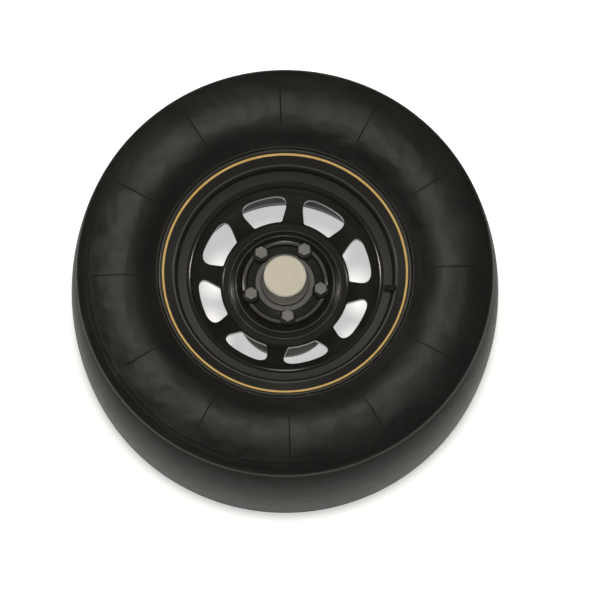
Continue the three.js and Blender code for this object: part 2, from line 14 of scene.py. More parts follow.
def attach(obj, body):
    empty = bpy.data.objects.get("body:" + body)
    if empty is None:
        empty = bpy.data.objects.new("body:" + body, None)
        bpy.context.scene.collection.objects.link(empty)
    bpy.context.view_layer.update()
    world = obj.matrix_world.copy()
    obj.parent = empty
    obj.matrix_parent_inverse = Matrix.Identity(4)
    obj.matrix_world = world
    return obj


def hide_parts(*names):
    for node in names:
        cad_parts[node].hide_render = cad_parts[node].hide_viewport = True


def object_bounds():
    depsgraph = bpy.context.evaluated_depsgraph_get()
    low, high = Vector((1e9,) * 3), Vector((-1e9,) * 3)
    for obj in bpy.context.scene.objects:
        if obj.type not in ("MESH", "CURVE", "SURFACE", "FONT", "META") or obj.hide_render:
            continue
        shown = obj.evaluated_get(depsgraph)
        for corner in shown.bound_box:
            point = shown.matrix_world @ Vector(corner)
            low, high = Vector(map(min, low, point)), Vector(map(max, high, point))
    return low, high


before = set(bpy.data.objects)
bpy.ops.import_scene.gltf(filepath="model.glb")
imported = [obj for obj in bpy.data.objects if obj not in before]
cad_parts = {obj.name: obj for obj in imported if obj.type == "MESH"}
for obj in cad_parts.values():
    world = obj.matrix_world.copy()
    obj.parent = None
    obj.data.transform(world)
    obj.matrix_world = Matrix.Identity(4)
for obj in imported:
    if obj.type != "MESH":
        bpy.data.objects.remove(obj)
cad_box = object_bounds()

MM = 0.001

# Tyre
TYRE_RADIUS = 350.4
TREAD_EDGE = (342.4, 133.2)
TYRE_HALF_WIDTH = 147.4
CREST_RADIUS = 268
MOULD_LINES = 12
MOULD_LINE_START = 1.5
MOULD_LINE_HALF_WIDTH = 0.8
MOULD_LINE_DEPTH = 0.45
MOULD_LINE_SPAN = (238, 322)

# Rim and disc
FLANGE_RADIUS = 207.3
FLANGE_HEIGHT = 135
WELL_RADIUS = 160.8
DISC_LIP_HEIGHT = 98.6
DISC_BORE_RADIUS = 48.7
WINDOW_COUNT = 8
WINDOW_START = 15.4
WINDOW_INNER_RADIUS = 106.1
WINDOW_OUTER_RADIUS = 142.0

# Lugs
LUG_COUNT = 5
LUG_START = 58.3
LUG_CIRCLE = 60.325
NUT_TOP = 82.5
NUT_FLATS = 18
NUT_SEAT = 66.1
STUD_RADIUS = 6.35
BOSS_RADIUS = 14.4
BOSS_TOP = 65.8

# Valve: a bent stem, upright in the hoop's wall as far as its elbow and then leaning inwards.
# Distances along the straight part start at the elbow.
VALVE_ANGLE = -7.65
VALVE_ELBOW = (178.6, 120.3)
VALVE_LEAN = -20
VALVE_BODY_RADIUS = 5.6
VALVE_BODY_LENGTH = 8.2
VALVE_TIP = 12.6
VALVE_POCKET_FLOOR = 110
VALVE_POCKET_ROOF = 103

# Camera
CAMERA_ELEVATION = 76.53
VIEW_WIDTH = 0.9852
VIEW_RIGHT = 0.02463
VIEW_UP = -0.01412


# ------------------------------------------------------------------ profiles and meshes


def fillet(corners, closed=False, steps=5):
    """The points of a profile. A corner is (radius, height) or (radius, height, round), and
    round is the radius of the arc that takes its place."""
    points = []
    count = len(corners)
    for i, corner in enumerate(corners):
        here = Vector(corner[:2])
        bend = corner[2] if len(corner) > 2 else 0
        at_end = not closed and i in (0, count - 1)
        if bend <= 0 or at_end:
            points.append(here)
            continue
        before = (Vector(corners[i - 1][:2]) - here)
        after = (Vector(corners[(i + 1) % count][:2]) - here)
        opening = before.angle(after)
        if opening > math.radians(178):
            points.append(here)
            continue
        reach = bend / math.tan(opening / 2)
        reach = min(reach, 0.48 * before.length, 0.48 * after.length)
        arc = reach * math.tan(opening / 2)
        inward = (before.normalized() + after.normalized()).normalized()
        centre = here + inward * (arc / math.sin(opening / 2))
        start = here + before.normalized() * reach - centre
        turn = start.angle_signed(here + after.normalized() * reach - centre)
        for k in range(steps + 1):
            spun = start.copy()
            spun.rotate(Matrix.Rotation(-turn * k / steps, 2))
            points.append(centre + spun)
    return points


def new_object(name, mesh, sharp=32):
    obj = bpy.data.objects.new(name, mesh)
    bpy.context.scene.collection.objects.link(obj)
    mesh.shade_smooth()
    mesh.set_sharp_from_angle(angle=math.radians(sharp))
    return obj


def finish_bmesh(name, bm, sharp=32):
    bmesh.ops.remove_doubles(bm, verts=bm.verts, dist=1e-6)
    bmesh.ops.recalc_face_normals(bm, faces=bm.faces)
    mesh = bpy.data.meshes.new(name)
    bm.to_mesh(mesh)
    bm.free()
    return new_object(name, mesh, sharp)


def even_angles(count):
    return [2 * math.pi * i / count for i in range(count)]


def lathe_into(bm, points, angles, closed, shift=None):
    """Adds a profile turned about Z. shift(radius, height, angle) may move a point's height."""
    rings = []
    for angle in angles:
        ring = []
        for p in points:
            height = p.y + (shift(p.x, p.y, angle) if shift else 0)
            co = Vector((p.x * math.cos(angle), p.x * math.sin(angle), height)) * MM
            ring.append(bm.verts.new(co))
        rings.append(ring)
    span = len(points) if closed else len(points) - 1
    for i, ring in enumerate(rings):
        following = rings[(i + 1) % len(rings)]
        for j in range(span):
            k = (j + 1) % len(points)
            bm.faces.new((ring[j], following[j], following[k], ring[k]))


def turned(name, corners, closed=True, count=192, sharp=32, steps=5):
    """A turned piece. An open profile starts and ends on the axis."""
    bm = bmesh.new()
    lathe_into(bm, fillet(corners, closed, steps), even_angles(count), closed)
    bmesh.ops.remove_doubles(bm, verts=bm.verts, dist=1e-6)
    bmesh.ops.dissolve_degenerate(bm, dist=1e-6, edges=bm.edges)
    return finish_bmesh(name, bm, sharp)


def mirrored(corners):
    return [(c[0], -c[1], *c[2:]) for c in reversed(corners)]


def apply_modifiers(obj):
    """Replaces the mesh by what the modifiers make of it, so that no modifier is left."""
    graph = bpy.context.evaluated_depsgraph_get()
    graph.update()
    mesh = bpy.data.meshes.new_from_object(obj.evaluated_get(graph))
    obj.modifiers.clear()
    obj.data = mesh
    return obj


def cut(obj, cutters):
    for cutter in cutters:
        boolean = obj.modifiers.new("cut", "BOOLEAN")
        boolean.object = cutter
        boolean.operation = "DIFFERENCE"
        boolean.solver = "EXACT"
    apply_modifiers(obj)
    for cutter in cutters:
        bpy.data.objects.remove(cutter)
    return obj


def bevel(obj, width, segments=3, angle=30):
    rounding = obj.modifiers.new("bevel", "BEVEL")
    rounding.width = width * MM
    rounding.segments = segments
    rounding.limit_method = "ANGLE"
    rounding.angle_limit = math.radians(angle)
    rounding.harden_normals = False
    apply_modifiers(obj)
    return obj


def smooth(obj, sharp=32):
    obj.data.shade_smooth()
    obj.data.set_sharp_from_angle(angle=math.radians(sharp))
    return obj


def cylinder(name, radius, bottom, top, centre=(0, 0), count=64):
    corners = [(0, bottom), (radius, bottom), (radius, top), (0, top)]
    obj = turned(name, corners, closed=False, count=count)
    obj.data.transform(Matrix.Translation(Vector((*centre, 0)) * MM))
    return obj


def on_circle(radius, degrees):
    angle = math.radians(degrees)
    return radius * math.cos(angle), radius * math.sin(angle)


def dress(obj, body, slot, material, *nodes):
    """Gives a finished piece its material, its body and the CAD nodes it stands for; slot is not used."""
    obj.data.materials.clear()
    obj.data.materials.append(material)
    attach(obj, body)
    if nodes:
        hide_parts(*nodes)
    return obj


# ------------------------------------------------------------------ materials


class Shader:
    """A small builder of node materials around one Principled shader."""

    def __init__(self, name, colour, roughness, metallic=0.0, **sockets):
        self.material = bpy.data.materials.new(name)
        self.material.use_nodes = True
        self.tree = self.material.node_tree
        self.bsdf = self.tree.nodes["Principled BSDF"]
        self.set("Base Color", (*colour, 1))
        self.set("Roughness", roughness)
        self.set("Metallic", metallic)
        for key, value in sockets.items():
            self.set(key.replace("_", " "), value)
        self.position = self.node("ShaderNodeTexCoord").outputs["Object"]

    def set(self, socket, value):
        self.bsdf.inputs[socket].default_value = value

    def node(self, kind, **settings):
        made = self.tree.nodes.new(kind)
        for key, value in settings.items():
            setattr(made, key, value)
        return made

    def link(self, source, target):
        self.tree.links.new(source, target)

    def math(self, operation, a, b=0.0, clamp=False):
        made = self.node("ShaderNodeMath", operation=operation, use_clamp=clamp)
        for socket, value in zip(made.inputs, (a, b)):
            if hasattr(value, "links"):
                self.link(value, socket)
            else:
                socket.default_value = value
        return made.outputs[0]

    def noise(self, scale, detail=3.0, stretch=None, vector=None):
        """Noise from 0 to 1; scale is in cycles a metre, and stretch scales X, Y and Z first."""
        source = vector or self.position
        if stretch:
            mapping = self.node("ShaderNodeMapping")
            mapping.inputs["Scale"].default_value = stretch
            self.link(source, mapping.inputs["Vector"])
            source = mapping.outputs[0]
        made = self.node("ShaderNodeTexNoise")
        made.inputs["Scale"].default_value = scale
        made.inputs["Detail"].default_value = detail
        self.link(source, made.inputs["Vector"])
        return made.outputs["Fac"]

    def radius(self):
        """Distance from the wheel's axis, in metres."""
        flat = self.node("ShaderNodeVectorMath", operation="MULTIPLY")
        flat.inputs[1].default_value = (1, 1, 0)
        self.link(self.position, flat.inputs[0])
        length = self.node("ShaderNodeVectorMath", operation="LENGTH")
        self.link(flat.outputs[0], length.inputs[0])
        return length.outputs["Value"]

    def height(self):
        split = self.node("ShaderNodeSeparateXYZ")
        self.link(self.position, split.inputs[0])
        return split.outputs["Z"]

    def ramp(self, factor, *stops):
        """A colour ramp through (place, colour) stops; a colour may be one grey number."""
        made = self.node("ShaderNodeValToRGB")
        elements = made.color_ramp.elements
        while len(elements) < len(stops):
            elements.new(0.5)
        for element, (place, colour) in zip(elements, stops):
            element.position = place
            shade = (colour,) * 3 if isinstance(colour, (int, float)) else colour
            element.color = (*shade, 1)
        self.link(factor, made.inputs[0])
        return made.outputs[0]

    def between(self, value, low, high):
        made = self.node("ShaderNodeMapRange")
        made.inputs["From Min"].default_value = low
        made.inputs["From Max"].default_value = high
        self.link(value, made.inputs["Value"])
        return made.outputs[0]

    def drive(self, socket, source):
        self.link(source, self.bsdf.inputs[socket])

    def colour(self, source):
        self.drive("Base Color", source)

    def roughness(self, source, low, high):
        made = self.node("ShaderNodeMapRange")
        made.inputs["To Min"].default_value = low
        made.inputs["To Max"].default_value = high
        self.link(source, made.inputs["Value"])
        self.link(made.outputs[0], self.bsdf.inputs["Roughness"])

    def bump(self, *layers):
        """Stacks (height source, depth in metres) layers of bump."""
        normal = None
        for source, depth in layers:
            made = self.node("ShaderNodeBump")
            made.inputs["Strength"].default_value = 1
            made.inputs["Distance"].default_value = depth
            self.link(source, made.inputs["Height"])
            if normal:
                self.link(normal, made.inputs["Normal"])
            normal = made.outputs[0]
        self.link(normal, self.bsdf.inputs["Normal"])
        return self


def rubber():
    s = Shader("tyre_rubber", (0.008, 0.008, 0.007), 0.46)
    tread = s.between(s.radius(), 0.3395, 0.3435)
    sidewall = s.math("SUBTRACT", 1.0, tread)
    shine = s.ramp(s.between(s.height(), 0.13, -0.13), (0.0, 0.006), (1.0, 0.055))
    # Painted highlight: a lighter ring of rubber along the moulded ring beside the rim.
    ring_highlight = s.ramp(s.between(s.radius(), 0.2085, 0.2125), (0.2, 0), (0.4, 1), (0.7, 1), (0.9, 0))
    tone = s.math("ADD", s.math("MULTIPLY", s.noise(14, 3), 0.5), s.math("MULTIPLY", ring_highlight, 0.5))
    s.colour(s.ramp(
        tone,
        (0.15, (0.0064, 0.0059, 0.0048)),
        (0.35, (0.0094, 0.0086, 0.0069)),
        (0.5, (0.0094, 0.0086, 0.0069)),
        (0.8, (0.03, 0.029, 0.026)),
    ))
    level = s.math("ADD", s.math("MULTIPLY", sidewall, 0.25), s.math("MULTIPLY", tread, shine))
    s.drive("Specular IOR Level", level)
    s.roughness(s.noise(60, 4), 0.36, 0.47)
    broad = s.math("MULTIPLY", s.noise(11, 2), sidewall)
    dents = s.math("MULTIPLY", s.noise(34, 2), sidewall)
    rings = s.math("SINE", s.math("MULTIPLY", s.radius(), 2600))
    s.bump((broad, 0.0045), (dents, 0.0016), (rings, 0.00002), (s.noise(900, 2), 0.00008))
    return s.material


def gloss_black():
    """The disc's enamel, with painted highlights as grey bands along its three ridges."""
    s = Shader("gloss_black_paint", (0.013, 0.013, 0.012), 0.28, Specular_IOR_Level=0.5)
    s.set("Coat Weight", 0.35)
    s.set("Coat Roughness", 0.12)
    # Painted highlight: grey bands along the crests of the three ridges.
    stops = [(0.0, 0.0)]
    for start, end in ((64.6, 68.9), (81.2, 82.2), (90.9, 91.9)):
        stops += [((r - 60) / 40, highlit) for r, highlit in ((start - 1, 0), (start, 1), (end, 1), (end + 1, 0))]
    ridge_highlight = s.ramp(s.between(s.radius(), 0.060, 0.100), *stops)
    tone = s.math("ADD", s.math("MULTIPLY", s.noise(25, 3), 0.5), s.math("MULTIPLY", ridge_highlight, 0.5))
    s.colour(s.ramp(
        tone,
        (0.15, (0.0115, 0.0113, 0.0102)),
        (0.35, (0.0165, 0.016, 0.0145)),
        (0.5, (0.018, 0.0175, 0.016)),
        (0.9, (0.10, 0.096, 0.088)),
    ))
    s.roughness(s.noise(110, 4), 0.20, 0.29)
    s.bump((s.noise(420, 2), 0.00004), (s.noise(45, 2), 0.0002))
    return s.material


def rim_paint():
    """The hoop's enamel: deep black on the flange, greyer on the shoulder wall, with painted highlights
    as lighter rings along the lip and the rolled edge, and a dull coat in the well behind the disc."""
    s = Shader("rim_paint", (0.02, 0.02, 0.018), 0.3)
    edge = s.math("ADD", s.radius(), s.math("MULTIPLY", s.noise(30, 3), 0.0012))
    behind = s.between(s.height(), 0.095, 0.085)
    place = s.math("ADD", s.between(edge, 0.150, 0.210), behind)
    s.colour(s.ramp(
        place,
        (0.0, (0.045, 0.044, 0.040)),
        (0.42, (0.024, 0.023, 0.021)),
        (0.46, (0.012, 0.0118, 0.0108)),
        (0.535, (0.012, 0.0118, 0.0108)),
        # Painted highlight along the lip at the top of the shoulder wall.
        (0.55, (0.055, 0.053, 0.048)),
        (0.575, (0.055, 0.053, 0.048)),
        (0.59, (0.012, 0.0118, 0.0108)),
        (0.91, (0.012, 0.0118, 0.0108)),
        # Painted highlight along the rolled edge of the flange.
        (0.93, (0.06, 0.058, 0.053)),
        (0.965, (0.06, 0.058, 0.053)),
        (1.0, (0.012, 0.0118, 0.0108)),
    ))
    s.drive("Specular IOR Level", s.ramp(behind, (0.0, 0.5), (1.0, 0.006)))
    s.drive("Coat Weight", s.ramp(behind, (0.0, 0.3), (1.0, 0.0)))
    s.set("Coat Roughness", 0.15)
    s.roughness(s.noise(90, 4), 0.20, 0.30)
    s.bump((s.noise(500, 2), 0.00004), (s.noise(40, 2), 0.0002))
    return s.material


def gold():
    s = Shader("gold_stripe", (0.62, 0.36, 0.06), 0.4, Specular_IOR_Level=0.4)
    s.colour(s.ramp(s.noise(70, 3), (0.3, (0.58, 0.38, 0.13)), (0.7, (0.67, 0.46, 0.18))))
    s.roughness(s.noise(300, 3), 0.34, 0.48)
    s.bump((s.noise(1400, 2), 0.00003))
    return s.material


def metal(name, colour, low, high, speck=500, depth=0.00003, spun=0.0):
    """A bare metal. spun is the depth of the fine rings that a lathe leaves about the axis."""
    s = Shader(name, colour, (low + high) / 2, 1.0)
    dark = tuple(c * 0.78 for c in colour)
    light = tuple(min(1, c * 1.2) for c in colour)
    s.colour(s.ramp(s.noise(60, 4), (0.3, dark), (0.7, light)))
    s.roughness(s.noise(170, 4), low, high)
    layers = [(s.noise(speck, 3), depth)]
    if spun:
        rings = s.math("ADD", s.radius(), s.math("MULTIPLY", s.height(), 0.8))
        layers.append((s.math("SINE", s.math("MULTIPLY", rings, 9000)), spun))
    s.bump(*layers)
    return s.material


def satin(name, colour, low, high, shaded_below=None):
    """A plated or oiled metal, half way between bare metal and paint. Below the given height,
    in metres, it is nearly black: painted shade at the foot of the piece."""
    s = Shader(name, colour, (low + high) / 2, 0.35)
    dark = tuple(c * 0.85 for c in colour)
    light = tuple(c * 1.15 for c in colour)
    tone = s.math("MULTIPLY", s.noise(60, 4), 1.0)
    # Painted shade: nearly black below the given height.
    if shaded_below:
        unshaded = s.between(s.height(), shaded_below - 0.001, shaded_below + 0.003)
        tone = s.math("MULTIPLY", tone, unshaded)
    s.colour(s.ramp(tone, (0.0, tuple(c * 0.03 for c in colour)), (0.3, dark), (0.7, light)))
    s.roughness(s.noise(170, 4), low, high)
    rings = s.math("ADD", s.radius(), s.math("MULTIPLY", s.height(), 0.8))
    s.bump((s.noise(500, 3), 0.00003), (s.math("SINE", s.math("MULTIPLY", rings, 9000)), 0.000004))
    return s.material


def beige():
    s = Shader("cap_beige", (0.62, 0.58, 0.49), 0.5, Specular_IOR_Level=0.4)
    s.colour(s.ramp(s.noise(40, 3), (0.3, (0.595, 0.56, 0.465)), (0.7, (0.65, 0.61, 0.515))))
    s.roughness(s.noise(200, 3), 0.42, 0.56)
    s.bump((s.noise(700, 2), 0.00005))
    return s.material


def cast():
    """Cast iron, with the machined face of the nose lighter."""
    s = Shader("cast_iron_grey", (0.07, 0.07, 0.065), 0.6, 0.35)
    machined = s.between(s.height(), 0.0612, 0.0620)
    tone = s.math("ADD", s.math("MULTIPLY", s.noise(45, 5), 0.5), s.math("MULTIPLY", machined, 0.5))
    s.colour(s.ramp(tone, (0.15, (0.05, 0.05, 0.046)), (0.35, (0.095, 0.093, 0.086)), (0.75, (0.17, 0.168, 0.16))))
    s.roughness(s.noise(120, 4), 0.45, 0.6)
    s.bump((s.noise(320, 5), 0.00035))
    return s.material


def soft_black(name, low=0.45, high=0.6):
    s = Shader(name, (0.012, 0.012, 0.011), (low + high) / 2, Specular_IOR_Level=0.4)
    s.colour(s.ramp(s.noise(150, 3), (0.3, (0.009, 0.009, 0.008)), (0.7, (0.017, 0.0165, 0.015))))
    s.roughness(s.noise(260, 3), low, high)
    s.bump((s.noise(1600, 2), 0.00004))
    return s.material


def seal_brown():
    s = Shader("seal_rubber", (0.05, 0.03, 0.022), 0.6)
    s.colour(s.ramp(s.noise(160, 3), (0.3, (0.038, 0.022, 0.016)), (0.7, (0.062, 0.038, 0.027))))
    s.roughness(s.noise(260, 3), 0.5, 0.68)
    s.bump((s.noise(1300, 2), 0.00004))
    return s.material


# ------------------------------------------------------------------ tyre


def sidewall_height(radius):
    """The bulge of the sidewall: a fuller curve inside its crest, a gentler one outside it."""
    away = radius - CREST_RADIUS
    bend = 0.0026 if away > 0 else 0.0045
    return TYRE_HALF_WIDTH - bend * away * away


def sidewall_points():
    """The outboard sidewall from the bead to the tread edge, with its raised rings."""
    points = [Vector(p) for p in (
        (190.1, 107), (190.1, 116), (190.3, 120.6), (191, 122.5), (193, 123.35), (197.2, 124.1),
        (201, 125.3), (204.2, 127.2), (206.8, 129.8), (208.1, 132.2), (208.7, 134.4),
    )]
    for radius in (209.2, 209.7, 210.2, 210.7, 211.2, 211.8, 212.6, 213.6, 215, 217.5, 220, 222.5, 224):
        ridge = 1.1 * math.exp(-(((radius - 210.4) / 0.95) ** 2))
        settle = (sidewall_height(226) - 134.7) * (radius - 210) / 16
        points.append(Vector((radius, 134.7 + settle + ridge)))
    radius = 225.0
    while radius < 338:
        ridge = 0
        for centre, lift in ((226.4, 0.22), (322.5, 0.2), (330.5, 0.22)):
            ridge += lift * math.exp(-(((radius - centre) / 0.75) ** 2))
        points.append(Vector((radius, sidewall_height(radius) + ridge)))
        near = min(abs(radius - c) for c in (226.4, 322.5, 330.5))
        radius += 0.7 if near < 2.4 else 3.2
    edge = fillet([
        (338, sidewall_height(338)),
        (TREAD_EDGE[0], TREAD_EDGE[1], 3.2),
        (TREAD_EDGE[0] + 0.9, TREAD_EDGE[1] - 7),
    ])
    return points + edge


def tread_points():
    sag = TYRE_RADIUS - TREAD_EDGE[0] - 0.9
    steps = 16
    points = []
    for i in range(1, steps):
        share = 1 - 2 * i / steps
        height = share * (TREAD_EDGE[1] - 7)
        points.append(Vector((TYRE_RADIUS - sag * share * share, height)))
    return points


def liner_points():
    corners = [
        (190.1, -107), (194, -103.5, 3), (200, -106, 6), (218, -125, 20), (240, -134.5, 40),
        (268, -138.9, 60), (322, -130, 25), (333.4, -108, 20), (338.4, 0, 300), (333.4, 108, 20),
        (322, 130, 25), (268, 138.9, 60), (240, 134.5, 40), (218, 125, 20), (200, 106, 6),
        (194, 103.5, 3), (190.1, 107),
    ]
    return fillet(corners, steps=4)[1:-1]


def mould_line_angles():
    """Angles round the tyre, with five close together at each mould line."""
    angles = []
    sector = 2 * math.pi / MOULD_LINES
    half = MOULD_LINE_HALF_WIDTH / CREST_RADIUS
    plain = 22
    for i in range(MOULD_LINES):
        middle = math.radians(MOULD_LINE_START) + i * sector
        angles += [middle + half * k for k in (-1.8, -1, 0, 1, 1.8)]
        angles += [middle + 1.8 * half + (sector - 3.6 * half) * k / plain for k in range(1, plain)]
    return angles


def mould_groove(radius, height, angle):
    low, high = MOULD_LINE_SPAN
    if not low < radius < high or abs(height) < 100:
        return 0
    sector = 2 * math.pi / MOULD_LINES
    off = (angle - math.radians(MOULD_LINE_START) + sector / 2) % sector - sector / 2
    if abs(off) > 1e-4:
        return 0
    ends = min(1, (radius - low) / 6, (high - radius) / 6)
    return -math.copysign(MOULD_LINE_DEPTH * ends, height)


def make_tyre(material):
    side = sidewall_points()
    other = [Vector((p.x, -p.y)) for p in reversed(side)]
    outline = side + tread_points() + other + liner_points()
    bm = bmesh.new()
    lathe_into(bm, outline, mould_line_angles(), True, mould_groove)
    obj = finish_bmesh("slick_tyre", bm, sharp=50)
    return dress(obj, "wheel", "tyre", material, "tyre")


# ------------------------------------------------------------------ rim


def flange_corners():
    """The flange from its inner shoulder out round the rolled edge and back to the bead seat."""
    return [
        (184.8, 125.6, 1.5),
        (199.9, 129.2, 12),
        (204.2, 131.4, 4),
        (206.0, 134.9, 1.2),
        (FLANGE_RADIUS + 0.3, FLANGE_HEIGHT - 0.6, 1.2),
        (FLANGE_RADIUS + 0.4, 131.5, 2),
        (203.5, 127, 4),
        (197, 124.5, 6),
        (191.5, 123.5, 2.5),
        (189.8, 121, 2.5),
    ]


def make_rim(material):
    outboard = [
        (WELL_RADIUS, 97.2, 2.5),
        (161.6, 100.6, 1.2),
        (176.2, 110.9, 1.0),
        (178.0, 117.5, 1.5),
        (181.2, 122.8, 2.0),
    ]
    tyre_side = [
        (189.8, 103, 2),
        (186, 100, 3),
        (165.3, 86, 5),
        (165.3, -45, 25),
        (173, -97, 8),
        (189.8, -107.5, 2),
    ]
    inboard = [
        (184.5, -112, 4),
        (171.5, -101.5, 4),
        (168.5, -98, 3),
        (WELL_RADIUS, -45, 25),
    ]
    corners = [*outboard, *flange_corners(), *tyre_side, *mirrored(flange_corners()), *inboard]
    obj = turned("rim_shell", corners, count=256, steps=5, sharp=40)
    cutters = [
        valve_upright("pocket", 6.2, VALVE_POCKET_FLOOR, 140),
        valve_upright("hole", VALVE_BODY_RADIUS + 0.3, 85, VALVE_POCKET_FLOOR + 1),
        valve_upright("back", 8.8, 80, VALVE_POCKET_ROOF),
    ]
    cut(obj, cutters)
    smooth(obj, 40)
    return dress(obj, "wheel", "wheel_paint", material, "rim_hoop")


def make_stripe(material):
    low, high = 129.35, 130.45
    corners = [
        (198.5, low - 0.25),
        (199.9, low + 0.05),
        (202.0, high - 0.1),
        (201.95, high + 0.25, 0.2),
        (199.9, low + 0.55, 4),
        (198.55, low + 0.15, 0.2),
    ]
    obj = turned("pinstripe_ring", corners, count=256, steps=3)
    return dress(obj, "wheel", "gold_stripe", material, "rim_stripe")


def make_weld(material):
    """The weld between the disc's lip and the well, as a bead with a ripple every few degrees."""
    points = fillet([(157.2, 98.9, 0.9), (160.5, 98.9), (161.2, 101.4, 0.5), (159.3, 101.0, 1.4)], True, 3)
    ripples = 150

    def ripple(radius, height, angle):
        lift = 0.28 * abs(math.sin(angle * ripples / 2))
        return lift if height > 99.5 else 0

    bm = bmesh.new()
    lathe_into(bm, points, even_angles(ripples * 5), True, ripple)
    obj = finish_bmesh("disc_weld", bm, sharp=60)
    return dress(obj, "wheel", "wheel_paint", material)


# ------------------------------------------------------------------ disc


def disc_front():
    return [
        (DISC_BORE_RADIUS, 60.5, 0.8),
        (61.6, 60.5, 1.4),
        (64.2, 65.5, 2.4),
        (67, 66.3, 2.6),
        (70.2, 65.1, 2.6),
        (74.6, 58.6, 3),
        (79.4, 53.8, 1.0),
        (81.9, 53.2, 0.8),
        (83.6, 50.4, 1.0),
        (89.6, 47.2, 1.0),
        (91.6, 46.9, 0.7),
        (93.2, 45.0, 0.9),
        (102, 44.3, 5),
        (142.5, 81.0, 60),
        (151.8, 91.3, 12),
        (155.8, 98.0, 0.8),
        (157.8, 98.8, 0.6),
        (160.5, 98.6, 0.6),
    ]


def disc_back():
    return [
        (160.5, 84, 1.2),
        (153, 81, 2),
        (109, 39.2, 8),
        (98, 38.2, 8),
        (87, 40.5, 5),
        (78.5, 49, 4),
        (74.6, 55, 2),
        (DISC_BORE_RADIUS, 55, 0.6),
    ]


def window_outline():
    """One window, opening towards +Y: two edges about the wheel's axis, straight sides, and
    corners rounded as curves through their own points."""
    def arc(radius, half, count):
        spread = [half - 2 * half * i / count for i in range(count + 1)]
        return [Vector((radius * math.sin(a), radius * math.cos(a))) for a in spread]

    def curve(start, corner, end, count=8):
        points = []
        for i in range(1, count):
            t = i / count
            points.append(start * (1 - t) ** 2 + corner * 2 * t * (1 - t) + end * t * t)
        return points

    outer = arc(WINDOW_OUTER_RADIUS, math.radians(9.8), 10)
    inner = arc(WINDOW_INNER_RADIUS, math.radians(10.3), 8)[::-1]
    side = (Vector((32.9, 117.7)), Vector((25.3, 106.8)))
    outer_corner = Vector((44.6, 134.6))
    inner_corner = Vector((23.5, 103.1))

    def flip(p):
        return Vector((-p.x, p.y))

    points = list(outer)
    points += curve(outer[-1], flip(outer_corner), flip(side[0]))
    points += [flip(side[0]), flip(side[1])]
    points += curve(flip(side[1]), flip(inner_corner), inner[0])
    points += inner
    points += curve(inner[-1], inner_corner, side[1])
    points += [side[1], side[0]]
    points += curve(side[0], outer_corner, outer[0])
    return points


def window_cutter(degrees):
    bm = bmesh.new()
    bottom = [bm.verts.new(Vector((p.x, p.y, 20)) * MM) for p in window_outline()]
    face = bm.faces.new(bottom)
    raised = bmesh.ops.extrude_face_region(bm, geom=[face])
    top = [v for v in raised["geom"] if isinstance(v, bmesh.types.BMVert)]
    bmesh.ops.translate(bm, verts=top, vec=(0, 0, 100 * MM))
    obj = finish_bmesh("window", bm)
    obj.data.transform(Matrix.Rotation(math.radians(degrees - 90), 4, "Z"))
    return obj


def lug_places():
    return [on_circle(LUG_CIRCLE, LUG_START + 360 * i / LUG_COUNT) for i in range(LUG_COUNT)]


def make_disc(material):
    plate = turned("plate", [*disc_front(), *disc_back()], count=240, sharp=40)
    bosses = [cylinder("boss", BOSS_RADIUS, 57, BOSS_TOP, place, 72) for place in lug_places()]
    obj = join("stamped_disc", [plate, *bosses])
    cutters = [window_cutter(WINDOW_START + 360 * i / WINDOW_COUNT) for i in range(WINDOW_COUNT)]
    cutters.append(cylinder("bore", DISC_BORE_RADIUS, 40, 90, count=192))
    for x, y in lug_places():
        cutters.append(cylinder("hole", 7.75, 40, 90, (x, y)))
        seat = turned("seat", [(0, 58.7), (8.9, 58.7), (12.2, 66), (0, 66)], False, 64)
        seat.data.transform(Matrix.Translation(Vector((x, y, 0)) * MM))
        cutters.append(seat)
    cut(obj, cutters)
    bevel(obj, 0.5, 2, 40)
    smooth(obj, 35)
    return dress(obj, "wheel", "wheel_paint", material, "wheel_disc")


# ------------------------------------------------------------------ lugs


def hexagon(name, flats, bottom, top, chamfer=0.0):
    """A hexagonal prism with a corner towards +Y, its top edge turned down by the chamfer."""
    bm = bmesh.new()
    corner = flats / 2 / math.cos(math.pi / 6)
    ring = [math.pi / 2 + i * math.pi / 3 for i in range(6)]
    base = [bm.verts.new(Vector((corner * math.cos(a), corner * math.sin(a), bottom)) * MM) for a in ring]
    face = bm.faces.new(base)
    raised = bmesh.ops.extrude_face_region(bm, geom=[face])
    verts = [v for v in raised["geom"] if isinstance(v, bmesh.types.BMVert)]
    bmesh.ops.translate(bm, verts=verts, vec=(0, 0, (top - bottom) * MM))
    obj = finish_bmesh(name, bm)
    if chamfer:
        drop = chamfer + (corner - flats / 2)
        cone = turned("cone", [
            (0, bottom - 5), (corner + 3, bottom - 5), (corner + 3, top - drop * 0.75),
            (flats / 2 - chamfer, top), (0, top),
        ], False, 96)
        shape = obj.modifiers.new("chamfer", "BOOLEAN")
        shape.object = cone
        shape.operation = "INTERSECT"
        shape.solver = "EXACT"
        apply_modifiers(obj)
        bpy.data.objects.remove(cone)
    return obj


def join(name, pieces):
    """One piece from several closed meshes that meet inside each other."""
    first = pieces[0]
    for piece in pieces[1:]:
        union = first.modifiers.new("join", "BOOLEAN")
        union.object = piece
        union.operation = "UNION"
        union.solver = "EXACT"
    apply_modifiers(first)
    for piece in pieces[1:]:
        bpy.data.objects.remove(piece)
    first.name = name
    return first


def lug_nut_shape():
    hexagonal = hexagon("nut_hex", NUT_FLATS, NUT_SEAT + 0.8, NUT_TOP, 0.1)
    base = turned("nut_base", [
        (0, 59.2), (8.6, 59.2), (11.4, 66.1, 0.4), (13.8, 66.1, 0.5), (13.8, 67.6, 0.6),
        (12.4, 68.9, 0.8), (9.5, 69.6), (0, 69.6),
    ], False, 96, steps=3)
    obj = join("nut", [hexagonal, base])
    bore = cylinder("bore", STUD_RADIUS + 0.3, 40, NUT_TOP - 3)
    cut(obj, [bore])
    return smooth(obj, 14)


